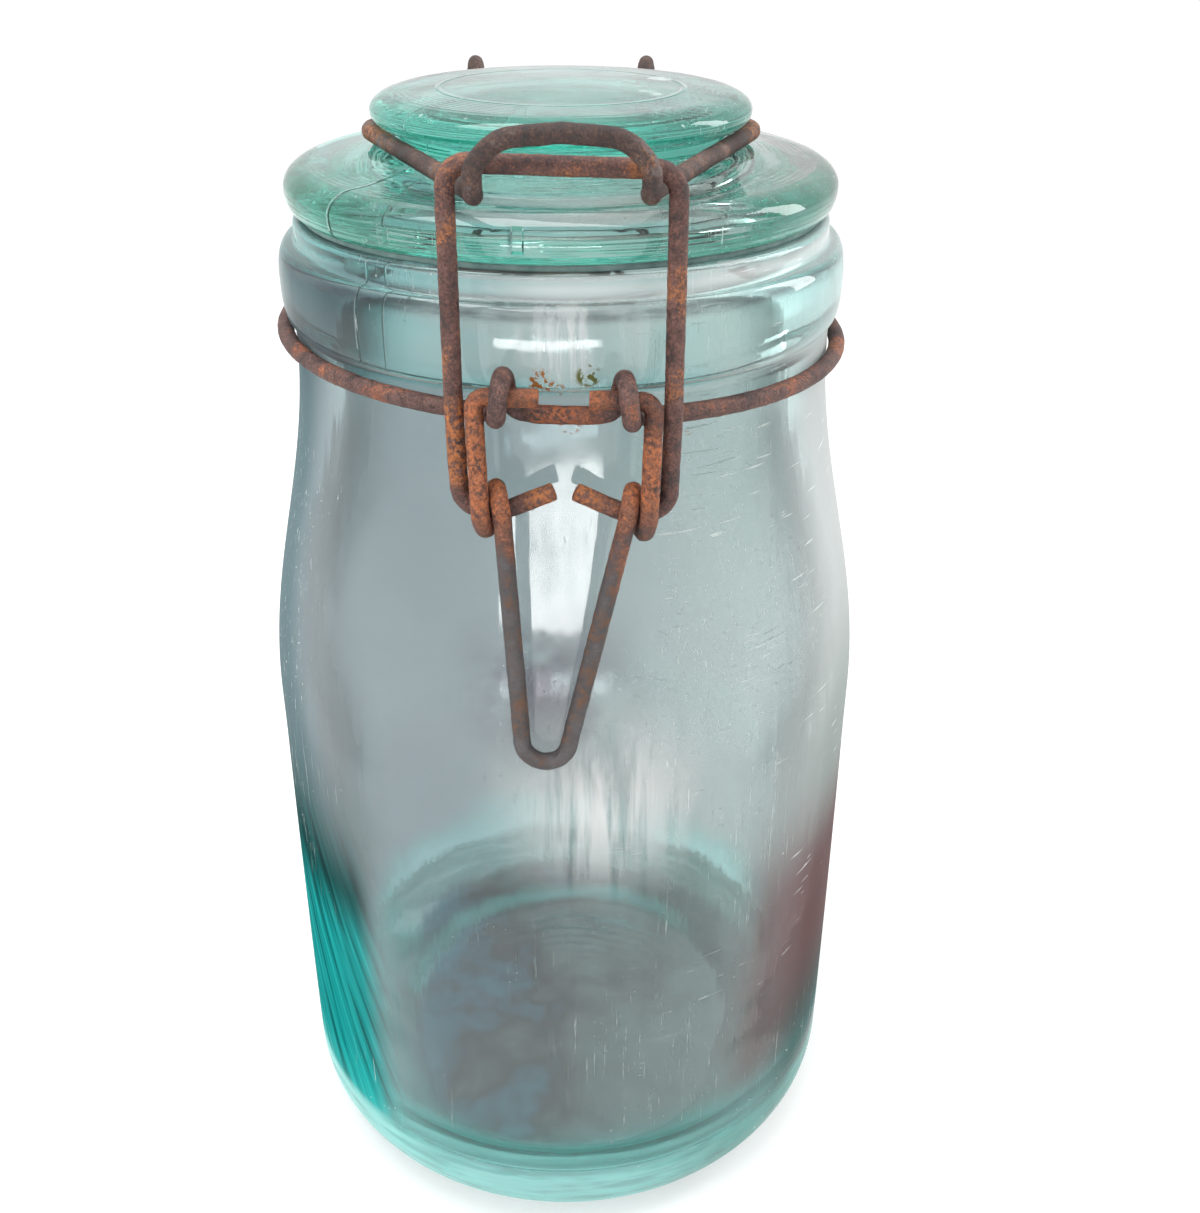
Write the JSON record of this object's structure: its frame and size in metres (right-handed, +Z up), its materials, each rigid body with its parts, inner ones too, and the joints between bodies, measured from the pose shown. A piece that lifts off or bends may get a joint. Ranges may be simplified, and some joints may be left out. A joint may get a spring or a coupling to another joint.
{
  "type": "canning jar with a bail-wire glass lid",
  "caption": "Aqua glass canning jar with a knobbed glass lid, a rubber seal and a rusted wire closure of lever, hasp, lid wire and hinge link.",
  "frame": {"origin": "on the axis of the turned glass, at the surface that the jar stands on", "axes": "+Z up along the jar's axis, -Y towards the hasp and the lever, +Y towards the lid's hinge, +X to the right seen from the front"},
  "size_m": [0.1204, 0.1228, 0.228],
  "materials": {
    "body_glass": "clear pale aqua, smooth with fine wear",
    "lid_glass": "clear, stronger aqua where it is thick",
    "seal_rubber": "aged, matt",
    "neck_wire_rust": "rusted red-brown, matt",
    "lever_rust": "rusted orange to brown, matt",
    "hasp_rust": "rusted brown, matt",
    "lid_wire_worn": "dark and worn, half matt",
    "link_rust": "rusted brown, matt"
  },
  "bodies": {
    "jar": {"jar_body": "body_glass", "seal_ring": "seal_rubber", "neck_wire": "neck_wire_rust"},
    "lever": {"lever": "lever_rust"},
    "hasp": {"hasp": "hasp_rust"},
    "rear_link": {"rear_link": "link_rust"},
    "lid": {"lid": "lid_glass", "lid_wire": "lid_wire_worn"}
  },
  "joints": [
    {"name": "lever_swing", "type": "hinge", "parent": "jar", "child": "lever", "pos_m": [0, -0.0553, 0.1872], "axis": [-0.9995, 0, 0.0332], "range_deg": [0, 120]},
    {"name": "hasp_swing", "type": "hinge", "parent": "lever", "child": "hasp", "pos_m": [0, -0.0553, 0.1686], "axis": [-0.9995, 0, 0.0332], "range_deg": [-82, 0]},
    {"name": "link_tilt", "type": "hinge", "parent": "jar", "child": "rear_link", "pos_m": [0, 0.0553, 0.1872], "axis": [-1, 0, 0], "range_deg": [0, 34.6]},
    {"name": "lid_hinge", "type": "hinge", "parent": "rear_link", "child": "lid", "pos_m": [0, 0.0516, 0.2188], "axis": [-1, 0, 0], "range_deg": [0, 230]}
  ],
  "couplings": [
    {"joint": "hasp_swing", "follows": "lever_swing", "ratio": -0.68},
    {"joint": "link_tilt", "follows": "lid_hinge", "ratio": 0.15}
  ]
}
